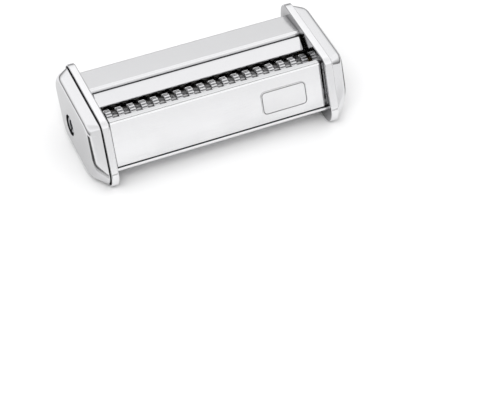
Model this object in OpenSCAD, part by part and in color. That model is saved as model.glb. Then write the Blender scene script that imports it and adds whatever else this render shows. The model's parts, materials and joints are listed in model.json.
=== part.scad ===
// Pasta cutter head: two grooved cutting rollers between two dished side plates.
// X runs along the rollers, -Y is the front where the strands come out, +Z is up.
// The origin is the middle of the footprint, on the surface that the side plates stand on.

/* [Body] */
// Clear width between the inner faces of the two side plates
inner_span = 154; // [120:1:190]
// Height of the side plates
plate_h = 48.2; // [47.8:0.1:49]
// Lean of the front edge of the side plates, in degrees from upright
front_lean = 22.2; // [21.5:0.05:22.5]
// Width of the rim of a side plate
rim_w = 5.4; // [5:0.1:6]
// How far an end cover stands out beyond the rim
cover_out = 9.9; // [9.6:0.1:11]
// Diameter of the crank hole in the left end cover
crank_hole_d = 15; // [14.5:0.1:16]

/* [Rollers] */
// Outside radius of the cutting discs
disc_r = 8; // [7.9:0.05:8.1]
// Radius at the bottom of the grooves between the discs
groove_r = 5.8; // [5.6:0.05:5.9]
// Distance from one disc to the next on the same roller
disc_pitch = 8.4; // [8.2:0.1:8.4]
// Width of one disc
disc_w = 4.1; // [3.5:0.1:4.1]
// Discs on each roller
disc_count = 18; // [6:1:18]
// Feed teeth round each disc
disc_teeth = 20; // [16:1:22]
// Depth of the feed teeth
tooth_cut = 1.2; // [0.8:0.1:1.4]
// Tilt of the plane through both rollers, front roller up, in degrees
roller_tilt = 25; // [24:0.5:26]
// Rear roller axis behind the origin
rear_y = 9.8; // [9.5:0.1:10]
// Rear roller axis above the resting surface
rear_z = 19.8; // [19.6:0.1:20.1]

/* [Drive] */
// Teeth on each gear
gear_teeth = 12; // [12:1:12]
// Gear module
gear_module = 1.25; // [1.25:0.01:1.25]
// Gear width
gear_w = 6; // [4:0.5:6]
// Radius of the crank socket in the rear roller
crank_bore_r = 3.4; // [3:0.1:3.6]
// Depth of the crank socket
crank_bore_len = 17.6; // [12:0.2:18]

/* [Sheet metal] */
// Thickness of the covers
sheet_t = 0.8; // [0.6:0.1:1]
// Thickness of the scraper combs
comb_t = 0.7; // [0.5:0.1:0.8]
// Width of one comb finger
finger_w = 3.5; // [2.5:0.1:3.6]

/* [Hidden] */
$fn = 48;
tiny = 0.01;

// Stations along X, measured outwards from the middle
plate_x = inner_span / 2;
plate_t = 1.4;
bearing_x = plate_x + plate_t;
bearing_t = 3;
bearing_out = bearing_x + bearing_t;
bush_flange_t = 0.8;
rim_x = plate_x + rim_w;
cover_in = plate_x + 2.4;
cover_x = rim_x + cover_out;
roller_end = plate_x - 1.4;
journal_r = 4;
drive_journal_r = 5.4;
gear_seat_r = 3.4;
gear_x = bearing_out + bush_flange_t + 0.7;
clip_t = 0.8;
clip_x = gear_x + gear_w + 0.05;
left_clip_x = bearing_out + bush_flange_t + 0.3;
running_gap = 0.05;

// Outline of a side plate in the Y-Z plane: sharp corners with their radii, anticlockwise
front_top_y = -29.1;
rear_y_max = 43.4;
front_foot_y = front_top_y - plate_h * tan(front_lean);
outline = [
    [rear_y_max, plate_h, 9],
    [front_top_y, plate_h, 7],
    [front_foot_y, 0, 11],
    [26.4, 0, 8],
    [rear_y_max, 34.3, 9.7]];
wall_t = 1;
rim_t = 1.2;
cover_inset = 2.2;

// Roller axes in the Y-Z plane, and the directions across and through the nip
gear_distance = gear_teeth * gear_module;
rear_axis = [rear_y, rear_z];
across = [cos(roller_tilt), -sin(roller_tilt)];
outward = [-sin(roller_tilt), -cos(roller_tilt)];
front_axis = rear_axis - gear_distance * across;

// Combs: each runs from close to its groove floor down to an eye round its rod
comb_lean = 16;
comb_offset = 6.5;
comb_start = 2;
finger_len = 5.6;
comb_len = 12.5;
rod_r = 2.5;
rod_end_r = 2;
front_tip = front_axis + comb_offset * across + comb_start * outward;
rear_tip = rear_axis - comb_offset * across + comb_start * outward;
front_run = cos(comb_lean) * outward - sin(comb_lean) * across;
rear_run = cos(comb_lean) * outward + sin(comb_lean) * across;
eye_off = rod_r + comb_t / 2;
front_comb_at = front_tip + comb_len * front_run + eye_off * [front_run[1], -front_run[0]];
rear_comb_at = rear_tip + comb_len * rear_run + eye_off * [-rear_run[1], rear_run[0]];
rear_tie_at = [25, 34.8];
front_tie_at = [-27, 20.8];
rod_places = [front_comb_at, rear_comb_at, rear_tie_at, front_tie_at];

// Ends of the covers
front_cover_end = plate_x - 1.7;
guide_end = plate_x - 2;

// Colours
chrome = [0.86, 0.86, 0.87];
polished = [0.92, 0.92, 0.93];
satin = [0.74, 0.74, 0.75];
steel = [0.62, 0.63, 0.65];
bronze = [0.70, 0.52, 0.28];

// ---------- geometry helpers ----------
function unit(v) = v / norm(v);
function left_of(v) = [-v[1], v[0]];
function corner_xy(i) = [outline[i][0], outline[i][1]];
function edge_dir(i) = unit(corner_xy((i + 1) % len(outline)) - corner_xy(i));
// Inward normal of edge i of the anticlockwise outline
function inward(i) = left_of(edge_dir(i));
function arc_centre(i) =
    let (a = inward((i + len(outline) - 1) % len(outline)), b = inward(i), r = outline[i][2])
    corner_xy(i) + r * (a + b) / (1 + a * b);
function arc_points(centre, r, from, to, steps) =
    [for (k = [0:steps]) let (a = from + (to - from) * k / steps) centre + r * [cos(a), sin(a)]];
// A path moved sideways by d, to its left for a positive d
function shifted(path, d) = [for (i = [0:len(path) - 1])
    let (a = unit(path[min(i + 1, len(path) - 1)] - path[min(i, len(path) - 2)]),
         b = unit(path[max(i, 1)] - path[max(i - 1, 0)]),
         n = left_of(a) + left_of(b))
    path[i] + d * 2 * n / (n * n)];

// The side outline, drawn inset from the plate's own edge. Its straight runs are tucked
// slightly inside the corner arcs, so that each arc crosses them at a clear angle.
arc_tuck = 0.004;
module side_outline(inset) {
    n = len(outline);
    polygon([for (i = [0:n - 1]) each [
        arc_centre(i) - (outline[i][2] - inset - arc_tuck) * inward((i + n - 1) % n),
        arc_centre(i) - (outline[i][2] - inset - arc_tuck) * inward(i)]]);
    for (i = [0:n - 1]) translate(arc_centre(i)) circle(outline[i][2] - inset);
}

// Extrudes a Y-Z shape along X from x0 to x1
module along_x(x0, x1) {
    translate([x0, 0, 0]) rotate([90, 0, 90]) linear_extrude(x1 - x0) children();
}

// A cylinder along X from x0 to x1 about the axis through at = [y, z]
module bar_x(at, r, x0, x1) {
    translate([x0, at[0], at[1]]) rotate([0, 90, 0]) cylinder(h = x1 - x0, r = r);
}

module ring_x(at, r_out, r_in, x0, x1) {
    difference() {
        bar_x(at, r_out, x0, x1);
        bar_x(at, r_in, x0 - 1, x1 + 1);
    }
}

// Puts right-hand parts on the left when side is -1
module on_side(side) {
    if (side > 0) children();
    else mirror([1, 0, 0]) children();
}

// A bent sheet between x0 and x1; path is its outer surface, and the metal lies to its left
module sheet(path, t, x0, x1) {
    inner = shifted(path, t);
    along_x(x0, x1) polygon(concat(path, [for (i = [len(inner) - 1:-1:0]) inner[i]]));
}

// ---------- side plates, bearing plates and end covers ----------
module side_plate(side) {
    color(chrome) on_side(side) difference() {
        along_x(plate_x, rim_x) side_outline(0);
        along_x(bearing_x, rim_x + 1) side_outline(rim_t);
        bar_x(front_axis, bush_r(journal_r) + 0.3, plate_x - 1, rim_x);
        bar_x(rear_axis, bush_r(side < 0 ? drive_journal_r : journal_r) + 0.3, plate_x - 1, rim_x);
        for (p = rod_places) bar_x(p, rod_end_r, plate_x - 1, rim_x);
        for (z = rivet_z) bar_x([hook_y + hook_w / 2, z], rivet_r, plate_x - 1, rim_x);
    }
}

module bearing_plate(side) {
    color(steel) on_side(side) difference() {
        along_x(bearing_x, bearing_out) side_outline(cover_inset + wall_t);
        bar_x(front_axis, bush_r(journal_r), bearing_x - 1, bearing_out + 1);
        bar_x(rear_axis, bush_r(side < 0 ? drive_journal_r : journal_r), bearing_x - 1, bearing_out + 1);
        for (p = rod_places) bar_x(p, rod_end_r, bearing_x - 1, bearing_out + 1);
        // A notch in the rear edge leaves room for the rivet heads
        along_x(bearing_x - 1, bearing_x + rivet_head_t + rivet_room)
            translate([hook_y + hook_w / 2 - rivet_head_r - rivet_room, rivet_z[0] - 2])
                square([rim_w + 2, rivet_z[1] - rivet_z[0] + 4]);
    }
}

module end_cover(side) {
    color(chrome) on_side(side) difference() {
        along_x(cover_in, cover_x) side_outline(cover_inset);
        along_x(cover_in - 1, cover_x - wall_t) side_outline(cover_inset + wall_t);
        if (side < 0) bar_x(rear_axis, crank_hole_d / 2, cover_x - 3, cover_x + 1);
    }
}

// ---------- covers ----------
// Top cover: under-nose return, rounded nose, flat top and a rear wall that follows the plates
nose_at = [13.4, 41];
nose_r = 2.3;
rear_bend_at = [32.9, 39.4];
rear_bend_r = 2;
top_slope = 84;
rear_wall_angle = 26.2;
bend_steps = 12;
top_path = concat(
    [[20, nose_at[1] - nose_r]],
    arc_points(nose_at, nose_r, -90, -360 + top_slope, 2 * bend_steps),
    arc_points(rear_bend_at, rear_bend_r, top_slope, 0, bend_steps),
    [[rear_bend_at[0] + rear_bend_r, 27.8],
     [rear_bend_at[0] + rear_bend_r - 17 * tan(rear_wall_angle), 10.8]]);

module top_cover() {
    color(satin) {
        sheet([for (i = [len(top_path) - 1:-1:0]) top_path[i]], sheet_t, -plate_x, plate_x);
        for (side = [-1, 1]) on_side(side) difference() {
            along_x(plate_x - sheet_t, plate_x)
                polygon([[17, 39], [17, 42.7], [33.2, 40.9], [34.5, 39.2], [34.5, 28], [20, 30.8]]);
            bar_x(rear_tie_at, rod_end_r, plate_x - 2, plate_x + 1);
        }
    }
}

// Dough guide: lower return, the polished slope, a ridge, and a foot under the nose of the cover
guide_path = [[3.5, 32.7], [-0.2, 36.8], [7.2, 42.7], [10.5, nose_at[1] - nose_r],
    [19.5, nose_at[1] - nose_r]];

module dough_guide() {
    color(polished) sheet([for (i = [len(guide_path) - 1:-1:0]) guide_path[i]], sheet_t,
        -guide_end, guide_end);
}

// Front cover: inner return, narrow ledge, leaning face and a hem at the foot
face_top = [-24, 44.5];
face_foot = [-35.85, 13.85];
front_path = [[-18.6, 36.8], [-20.8, 44.1], face_top, face_foot, [-32.3, 13.5]];

module front_cover() {
    color(polished) {
        sheet(front_path, sheet_t, -front_cover_end, front_cover_end);
        for (side = [-1, 1]) on_side(side) difference() {
            along_x(front_cover_end - sheet_t, front_cover_end)
                polygon([[-21.4, 43.5], [-23.6, 43.7], [-34.9, 14.5], [-22, 14.3], [-21, 26.8]]);
            bar_x(front_tie_at, rod_end_r, front_cover_end - 2, front_cover_end + 1);
        }
    }
}

// Blank badge on the face of the front cover
badge_w = 32.8;
badge_h = 16.6;
badge_r = 3;
badge_t = 0.4;
badge_x = 47;
badge_up = 14.7;
face_dir = unit(face_top - face_foot);
face_angle = atan2(face_dir[1], face_dir[0]);

module badge() {
    color(polished) translate([badge_x, face_foot[0], face_foot[1]]) rotate([face_angle, 0, 0])
        translate([0, badge_up, 0]) linear_extrude(badge_t)
            union() {
                square([badge_w - 2 * badge_r, badge_h], center = true);
                square([badge_w, badge_h - 2 * badge_r], center = true);
                for (sx = [-1, 1], sy = [-1, 1])
                    translate([sx * (badge_w / 2 - badge_r), sy * (badge_h / 2 - badge_r)])
                        circle(badge_r);
            }
}

// Strand guard: rolled front edge and a plate that closes the foot of the front cavity
guard_bead_at = [-36.6, 12.3];
guard_bead_r = 0.7;

module strand_guard() {
    color(polished) {
        bar_x(guard_bead_at, guard_bead_r, -plate_x, plate_x);
        sheet([[-13.5, 13], guard_bead_at + [0, guard_bead_r - 0.1]], sheet_t, -plate_x, plate_x);
    }
}

// ---------- rollers ----------
// One toothed disc outline, with a tooth centred on angle zero
module disc_outline() {
    step = 360 / disc_teeth;
    polygon([for (i = [0:disc_teeth - 1], k = [[-0.24, 0], [0.24, 0], [0.34, 1], [0.66, 1]])
        (disc_r - k[1] * tooth_cut) * [cos((i + k[0]) * step), sin((i + k[0]) * step)]]);
}

module grooved_body(at, first_disc) {
    bar_x(at, groove_r, -roller_end, roller_end);
    for (i = [0:disc_count - 1])
        translate([first_disc + i * disc_pitch, at[0], at[1]]) rotate([90, 0, 90])
            linear_extrude(disc_w) disc_outline();
}

// Right-hand journal: running part, gear seat and a groove for the clip
module right_journal(at) {
    difference() {
        union() {
            bar_x(at, journal_r, roller_end - 1, gear_x - 0.3);
            bar_x(at, gear_seat_r, gear_x - 1, clip_x + 1.4);
        }
        ring_x(at, journal_r + 1, gear_seat_r - 0.5, clip_x, clip_x + clip_t);
    }
}

rear_first_disc = -roller_end;
front_first_disc = rear_first_disc + disc_pitch / 2;
crank_mouth_x = cover_x - 0.7;
crank_slot_w = 2.4;
crank_slot_depth = 3;

module rear_roller() {
    color(steel) difference() {
        union() {
            grooved_body(rear_axis, rear_first_disc);
            right_journal(rear_axis);
            bar_x(rear_axis, drive_journal_r, -crank_mouth_x, -roller_end + 1);
        }
        bar_x(rear_axis, crank_bore_r, -crank_mouth_x - 1, -crank_mouth_x + crank_bore_len);
        translate([-crank_mouth_x - 1, rear_axis[0] - crank_slot_w / 2, rear_axis[1] - 8])
            cube([crank_slot_depth + 1, crank_slot_w, 16]);
        ring_x(rear_axis, drive_journal_r + 1, drive_journal_r - 0.5,
            -left_clip_x - clip_t, -left_clip_x);
    }
}

module front_roller() {
    color(steel) difference() {
        union() {
            grooved_body(front_axis, front_first_disc);
            right_journal(front_axis);
            bar_x(front_axis, journal_r, -left_clip_x - clip_t - 0.8, -roller_end + 1);
        }
        ring_x(front_axis, journal_r + 1, journal_r - 0.5, -left_clip_x - clip_t, -left_clip_x);
    }
}

// ---------- gears, clips, bushes and washers ----------
pressure_angle = 20;
pitch_r = gear_teeth * gear_module / 2;
base_r = pitch_r * cos(pressure_angle);
tip_r = pitch_r + 0.95 * gear_module;
root_r = pitch_r - 1.2 * gear_module;
flank_gap = 1;
// Roll angle of the involute at radius r, and the half angle of a tooth there
function roll(r) = sqrt(max(0, (r / base_r) * (r / base_r) - 1)) * 180 / PI;
function involute(r) = roll(r) - atan(roll(r) * PI / 180);
function half_tooth(r) = 90 / gear_teeth - flank_gap / 2 + involute(pitch_r) - involute(r);
flank_steps = 5;

// Gear outline with a tooth centred on angle zero
module gear_outline() {
    radii = concat([root_r], [for (k = [0:flank_steps]) base_r + (tip_r - base_r) * k / flank_steps]);
    polygon([for (i = [0:gear_teeth - 1], half = [-1, 1], k = [0:len(radii) - 1])
        let (r = half < 0 ? radii[k] : radii[len(radii) - 1 - k],
             a = 360 * i / gear_teeth + half * half_tooth(max(r, base_r)))
        r * [cos(a), sin(a)]]);
}

module gear(at, turn) {
    color(steel) difference() {
        translate([gear_x, at[0], at[1]]) rotate([90, 0, 90])
            rotate(turn) linear_extrude(gear_w) gear_outline();
        bar_x(at, gear_seat_r, gear_x - 1, gear_x + gear_w + 1);
    }
}

// The rear gear points a tooth at the front gear, and the front gear points a gap back at it
module rear_gear() { gear(rear_axis, 180 - roller_tilt); }
module front_gear() { gear(front_axis, -roller_tilt + 180 / gear_teeth); }

module gear_clip(at) {
    color(steel) ring_x(at, gear_seat_r + 1.8, gear_seat_r - 0.5, clip_x, clip_x + clip_t);
}

module journal_clip(at, r) {
    color(steel) ring_x(at, r + 1.4, r - 0.5, -left_clip_x - clip_t, -left_clip_x);
}

function bush_r(r) = r + 1.6;

module bush(at, r, side) {
    color(bronze) on_side(side) difference() {
        union() {
            bar_x(at, bush_r(r), plate_x + 0.1, bearing_out + bush_flange_t);
            bar_x(at, bush_r(r) + 1.2, bearing_out, bearing_out + bush_flange_t);
        }
        bar_x(at, r + running_gap, plate_x - 1, bearing_out + 2);
    }
}

module roller_washers() {
    color(bronze) {
        for (side = [-1, 1], at = [rear_axis, front_axis]) {
            r = side < 0 && at == rear_axis ? drive_journal_r : journal_r;
            on_side(side) ring_x(at, r + 2, r + 0.1, plate_x - 1.1, plate_x - 0.3);
        }
    }
}

// ---------- combs ----------
module comb(tip, run, axis_at, first_finger) {
    angle = atan2(run[1], run[0]);
    color(steel) difference() {
        union() {
            along_x(-roller_end, roller_end) translate(tip) rotate(angle)
                translate([finger_len, -comb_t / 2]) square([comb_len - finger_len, comb_t]);
            for (i = [0:disc_count - 1]) {
                x = first_finger + i * disc_pitch;
                along_x(x, x + finger_w) translate(tip) rotate(angle)
                    translate([0, -comb_t / 2]) square([finger_len + 1, comb_t]);
            }
            bar_x(axis_at, rod_r + comb_t, -roller_end, roller_end);
        }
        bar_x(axis_at, rod_r, -roller_end - 1, roller_end + 1);
    }
}

finger_inset = (disc_w - finger_w) / 2;
module rear_comb() { comb(rear_tip, rear_run, rear_comb_at, front_first_disc + finger_inset); }
module front_comb() { comb(front_tip, front_run, front_comb_at, rear_first_disc + finger_inset); }

// ---------- rods, spacers and nuts ----------
nut_t = 3.2;
nut_across_flats = 7;

// A shouldered rod: thick between the shoulders, thin through the plates and nuts
module shouldered_rod(at, shoulder_x) {
    color(steel) {
        bar_x(at, rod_r, -shoulder_x, shoulder_x);
        bar_x(at, rod_end_r, -bearing_out - nut_t - 0.8, bearing_out + nut_t + 0.8);
    }
}

module cover_spacers() {
    color(steel) for (side = [-1, 1]) on_side(side)
        ring_x(front_tie_at, rod_r + 1.5, rod_end_r, front_cover_end, plate_x);
}

module tie_nuts(side) {
    color(steel) on_side(side) for (p = rod_places) difference() {
        translate([bearing_out, p[0], p[1]]) rotate([0, 90, 0])
            cylinder(h = nut_t, r = nut_across_flats / sqrt(3), $fn = 6);
        bar_x(p, rod_end_r, bearing_out - 1, bearing_out + nut_t + 1);
    }
}

// ---------- hooks that hang the head on the machine ----------
hook_t = 1.2;
hook_y = 35.4;
hook_w = 3;
hook_top = 34.8;
hook_foot = 24.8;
hook_gap = 4.9;
rivet_r = 0.8;
rivet_head_r = 1.3;
rivet_head_t = 0.7;
rivet_room = 0.4;
rivet_z = [hook_foot + 4.5, hook_foot + 7.7];

module hook(side) {
    color(steel) on_side(side) difference() {
        translate([plate_x - 2 * hook_t - hook_gap, hook_y, hook_foot])
            cube([2 * hook_t + hook_gap, hook_w, hook_top - hook_foot]);
        translate([plate_x - hook_t - hook_gap, hook_y - 1, hook_foot - 1])
            cube([hook_gap, hook_w + 2, hook_top - hook_foot + 1 - hook_t]);
        for (z = rivet_z) bar_x([hook_y + hook_w / 2, z], rivet_r, plate_x - hook_t - 0.5, plate_x + 1);
    }
}

module hook_rivets() {
    color(steel) for (side = [-1, 1], z = rivet_z) on_side(side) {
        at = [hook_y + hook_w / 2, z];
        bar_x(at, rivet_r, plate_x - hook_t, bearing_x + tiny);
        bar_x(at, rivet_head_r, bearing_x, bearing_x + rivet_head_t);
    }
}

side_plate(-1);  // left_side_plate
side_plate(1);  // right_side_plate
end_cover(-1);  // left_end_cover
end_cover(1);  // right_end_cover
bearing_plate(-1);  // left_bearing_plate
bearing_plate(1);  // right_bearing_plate
top_cover();
dough_guide();
front_cover();
badge();
strand_guard();
rear_roller();
front_roller();
rear_gear();
front_gear();
gear_clip(rear_axis);  // rear_gear_clip
gear_clip(front_axis);  // front_gear_clip
journal_clip(rear_axis, drive_journal_r);  // rear_journal_clip
journal_clip(front_axis, journal_r);  // front_journal_clip
bush(rear_axis, drive_journal_r, -1);  // rear_left_bush
bush(rear_axis, journal_r, 1);  // rear_right_bush
bush(front_axis, journal_r, -1);  // front_left_bush
bush(front_axis, journal_r, 1);  // front_right_bush
roller_washers();
rear_comb();
front_comb();
shouldered_rod(rear_comb_at, plate_x);  // rear_comb_rod
shouldered_rod(front_comb_at, plate_x);  // front_comb_rod
shouldered_rod(rear_tie_at, plate_x - sheet_t);  // rear_tie_rod
shouldered_rod(front_tie_at, front_cover_end - sheet_t);  // front_tie_rod
cover_spacers();
tie_nuts(-1);  // left_tie_nuts
tie_nuts(1);  // right_tie_nuts
hook(-1);  // left_hook
hook(1);  // right_hook
hook_rivets();
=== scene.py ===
"""Looks of the pasta cutter head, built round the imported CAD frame.

Lengths in the shape code are millimetres. X runs along the rollers, -Y is the front and +Z is up.
A cross-section is a list of (y, z) points, and most pieces are lofts of cross-sections along X.
"""

import json
import math

import bmesh
import bpy
from mathutils import Matrix, Vector
from mathutils.geometry import delaunay_2d_cdt


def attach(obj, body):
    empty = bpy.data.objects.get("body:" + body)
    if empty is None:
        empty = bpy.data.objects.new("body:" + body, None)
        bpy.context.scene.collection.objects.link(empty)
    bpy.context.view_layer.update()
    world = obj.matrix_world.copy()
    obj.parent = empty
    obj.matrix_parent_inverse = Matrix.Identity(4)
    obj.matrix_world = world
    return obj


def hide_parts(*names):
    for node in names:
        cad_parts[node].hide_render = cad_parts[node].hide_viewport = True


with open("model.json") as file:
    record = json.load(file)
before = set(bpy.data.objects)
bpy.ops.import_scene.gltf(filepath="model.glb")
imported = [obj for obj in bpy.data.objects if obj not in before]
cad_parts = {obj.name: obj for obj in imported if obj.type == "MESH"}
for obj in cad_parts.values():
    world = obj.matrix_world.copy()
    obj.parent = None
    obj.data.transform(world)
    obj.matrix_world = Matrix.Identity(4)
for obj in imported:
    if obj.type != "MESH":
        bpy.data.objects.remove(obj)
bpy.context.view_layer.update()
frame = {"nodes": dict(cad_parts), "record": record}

MM = 0.001

# ---------- sizes that repeat part.scad ----------
# side plates: the inner face, the outer edge of the rolled rim, and their thicknesses
PLATE_X, RIM_X = 77.0, 82.4
PLATE_T, RIM_T = 1.4, 1.2
# end covers: the open edge, the outer face, the inset from the side outline and the wall
COVER_IN, COVER_X = 79.4, 92.3
COVER_INSET, COVER_WALL = 2.2, 1.0
CRANK_HOLE_R = 7.5
# corners of the side outline, as (y, z, corner radius)
OUTLINE = [(43.4, 48.2, 9.0), (-29.1, 48.2, 7.0), (-48.77, 0.0, 11.0), (26.4, 0.0, 8.0),
           (43.4, 34.3, 9.7)]
# rollers
REAR_AXIS = (9.8, 19.8)
FRONT_AXIS = (-3.7946, 26.1393)
DISC_R, GROOVE_R = 8.0, 5.8
DISC_PITCH, DISC_W, DISCS = 8.4, 4.1, 18
TEETH = 20
ROLLER_END = 75.6
JOURNAL_R, CRANK_JOURNAL_R = 4.0, 5.4
# bushes: the wall round a journal, and the flange outside the bearing plate
BUSH_WALL, BUSH_FLANGE_T = 1.9, 0.8
BEARING_OUT = 81.4
# tie rods that carry the covers
REAR_TIE_AT, FRONT_TIE_AT, TIE_HOLE_R = (25.0, 34.8), (-27.0, 20.8), 2.0
SHEET_T = 0.8
HALF_T = SHEET_T / 2.0

# sides of a round hole, and the share of its radius that counts as inside it
HOLE_STEPS, IN_HOLE = 40, 0.999
# settings of the triangulation round the holes
INSIDE_ONLY, MERGE_DISTANCE = 1, 1e-6


# ---------- plane geometry ----------
def unit(v):
    return Vector(v).normalized()


def left_of(v):
    """The vector after a quarter turn to the left."""
    return Vector((-v[1], v[0]))


def arc(centre, radius, start, end, steps):
    """Points on an arc, with its angles in degrees."""
    points = []
    for k in range(steps + 1):
        a = math.radians(start + (end - start) * k / steps)
        points.append(Vector((centre[0] + radius * math.cos(a), centre[1] + radius * math.sin(a))))
    return points


def circle(centre, radius, steps):
    """A closed loop, without its first point repeated at the end."""
    return arc(centre, radius, 0.0, 360.0, steps)[:-1]


def side_outline(inset, radii=None, steps=12, edge_steps=24):
    """The rounded side outline as a closed loop, with its straight edges divided too.

    inset is one number, or where radii is given one for each edge; radii has one for each corner.
    """
    corners = [Vector(c[:2]) for c in OUTLINE]
    n = len(corners)
    insets = [inset] * n if radii is None else inset
    radii = [c[2] - inset for c in OUTLINE] if radii is None else radii
    inward = [left_of(unit(corners[(i + 1) % n] - corners[i])) for i in range(n)]
    arcs = []
    for i, corner in enumerate(corners):
        a, b = inward[i - 1], inward[i]
        ka, kb, dot = insets[i - 1], insets[i], a.dot(b)
        # where the two inset edges meet, and the arc centre on their bisector
        moved = corner + (a * (ka - kb * dot) + b * (kb - ka * dot)) / (1.0 - dot * dot)
        centre = moved + radii[i] * (a + b) / (1.0 + dot)
        start = math.degrees(math.atan2(-a.y, -a.x))
        end = math.degrees(math.atan2(-b.y, -b.x))
        if end < start:
            end += 360.0
        arcs.append(arc(centre, radii[i], start, end, steps))
    points = []
    for i, bend in enumerate(arcs):
        after = arcs[(i + 1) % n][0]
        points += bend + [bend[-1].lerp(after, k / edge_steps) for k in range(1, edge_steps)]
    return points


def filleted(corners, radii, steps=6):
    """An open path through corners, with each inner corner rounded to its radius."""
    points = [Vector(corners[0])]
    for before, here, after, r in zip(corners, corners[1:], corners[2:], radii):
        here = Vector(here)
        a, b = unit(Vector(before) - here), unit(Vector(after) - here)
        half = a.angle(b) / 2.0
        reach = r / math.tan(half)
        centre = here + unit(a + b) * (r / math.sin(half))
        start, end = here + a * reach - centre, here + b * reach - centre
        turn = math.degrees(math.atan2(start.x * end.y - start.y * end.x, start.dot(end)))
        from_angle = math.degrees(math.atan2(start.y, start.x))
        points += arc(centre, r, from_angle, from_angle + turn, steps)
    return points + [Vector(corners[-1])]


def offset(path, distance):
    """An open path moved to its left."""
    moved = []
    for i, p in enumerate(path):
        a = unit(path[min(i + 1, len(path) - 1)] - path[min(i, len(path) - 2)])
        b = unit(path[max(i, 1)] - path[max(i - 1, 0)])
        n = left_of(a) + left_of(b)
        moved.append(p + distance * 2.0 * n / n.dot(n))
    return moved


# ---------- mesh building ----------
# points closer than this are one point, in metres; edges sharper than this stay sharp, in degrees
WELD_DISTANCE, SMOOTH_ANGLE = 1e-7, 32.0


class Shape:
    """Vertices and faces gathered in millimetres, then made into one object in metres."""

    def __init__(self):
        self.points, self.faces = [], []
        # ranges of faces that take the piece's second material
        self.second = []

    def ring(self, x, loop):
        start = len(self.points)
        self.points += [(x, p[0], p[1]) for p in loop]
        return list(range(start, start + len(loop)))

    def bridge(self, a, b):
        """Joins two index rings with one band of quads."""
        n = len(a)
        self.faces += [(a[i], a[(i + 1) % n], b[(i + 1) % n], b[i]) for i in range(n)]

    def loft(self, rings):
        """Skins a list of (x, loop) and returns the index rings."""
        made = [self.ring(x, loop) for x, loop in rings]
        for a, b in zip(made, made[1:]):
            self.bridge(a, b)
        return made

    def cap(self, ring, flip=False):
        self.faces.append(tuple(reversed(ring)) if flip else tuple(ring))

    def holed_cap(self, x, loop, holes):
        """A flat face across a loop, with round holes given as (centre, radius)."""
        points, edges = [], []
        for ring in [loop] + [circle(c, r, HOLE_STEPS) for c, r in holes]:
            start, n = len(points), len(ring)
            points += ring
            edges += [(start + i, start + (i + 1) % n) for i in range(n)]
        made = delaunay_2d_cdt([Vector(p) for p in points], edges, [], INSIDE_ONLY, MERGE_DISTANCE)
        flat, triangles = made[0], made[2]
        start = len(self.points)
        self.points += [(x, p[0], p[1]) for p in flat]
        for face in triangles:
            middle = sum((flat[i] for i in face), Vector((0.0, 0.0))) / len(face)
            # the triangulation fills the holes as well, and those faces are left out
            if all((middle - Vector(c)).length > r * IN_HOLE for c, r in holes):
                self.faces.append(tuple(start + i for i in face))

    def mirrored(self):
        """The same shape on the other side of the head."""
        other = Shape()
        other.points = [(-x, y, z) for x, y, z in self.points]
        other.faces = [tuple(reversed(f)) for f in self.faces]
        other.second = self.second
        return other

    def add(self, other):
        """Takes in another shape, without its second material."""
        start = len(self.points)
        self.points += other.points
        self.faces += [tuple(start + i for i in f) for f in other.faces]

    def build(self, name):
        """Makes the object, in metres, with smooth faces and sharp edges."""
        mesh = bpy.data.meshes.new(name)
        mesh.from_pydata([(x * MM, y * MM, z * MM) for x, y, z in self.points], [], self.faces)
        for start, end in self.second:
            for polygon in mesh.polygons[start:end]:
                polygon.material_index = 1
        bm = bmesh.new()
        bm.from_mesh(mesh)
        bmesh.ops.remove_doubles(bm, verts=bm.verts, dist=WELD_DISTANCE)
        bmesh.ops.recalc_face_normals(bm, faces=bm.faces)
        bm.to_mesh(mesh)
        bm.free()
        mesh.shade_smooth()
        mesh.set_sharp_from_angle(angle=math.radians(SMOOTH_ANGLE))
        piece = bpy.data.objects.new(name, mesh)
        bpy.context.scene.collection.objects.link(piece)
        normals = piece.modifiers.new("even_normals", "WEIGHTED_NORMAL")
        normals.keep_sharp = True
        return piece


# a rounding is at most this share of half a sheet's thickness
NOSE_SHARE = 0.95


def sheet(shape, path, thickness, x0, x1, edge=0.22, steps=3):
    """Adds a bent sheet round a centre path, with rounded edges all round."""
    half = thickness / 2.0

    def section(shrink):
        h = half - shrink
        first, last = unit(path[1] - path[0]), unit(path[-1] - path[-2])
        inner = [path[0] + first * shrink] + path[1:-1] + [path[-1] - last * shrink]
        left, right = offset(inner, h), offset(inner, -h)
        nose = min(edge, h * NOSE_SHARE)
        # rounded strip ends, as short arcs between the two faces
        ends = []
        for p, d, n in ((inner[-1], last, left_of(last)), (inner[0], -first, -left_of(first))):
            points = []
            for side, lead in ((1.0, 0.0), (-1.0, 90.0)):
                corner = p + n * side * (h - nose) - d * nose
                for k in range(steps + 1):
                    a = math.radians(lead + 90.0 * k / steps)
                    points.append(corner + nose * (math.cos(a) * n + math.sin(a) * d))
            ends.append(points)
        return left[1:-1] + ends[0] + list(reversed(right[1:-1])) + ends[1]

    # each end is rounded too: (distance in from the end, shrink)
    turns = [math.radians(90.0 * k / steps) for k in range(steps + 1)]
    ends = [(edge * (1.0 - math.cos(a)), edge * (1.0 - math.sin(a))) for a in turns]
    rings = [(x0 + d, section(s)) for d, s in ends]
    rings += [(x1 - d, section(s)) for d, s in reversed(ends)]
    made = shape.loft(rings)
    inner_count = len(path) - 2
    for ring, flip in ((made[0], True), (made[-1], False)):
        strip_cap(shape, ring, inner_count + steps, flip)
    return shape


def strip_cap(shape, ring, tip, flip):
    """Closes the end of a sheet's section with quads that run along the strip."""
    n = len(ring)
    # walk along both faces at once, from the tip at the path's end back to its start
    a, b = tip, tip + 1
    while b - a < n - 1:
        face = (ring[a % n], ring[(a - 1) % n], ring[(b + 1) % n], ring[b % n])
        shape.faces.append(tuple(reversed(face)) if flip else face)
        a, b = a - 1, b + 1


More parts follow.
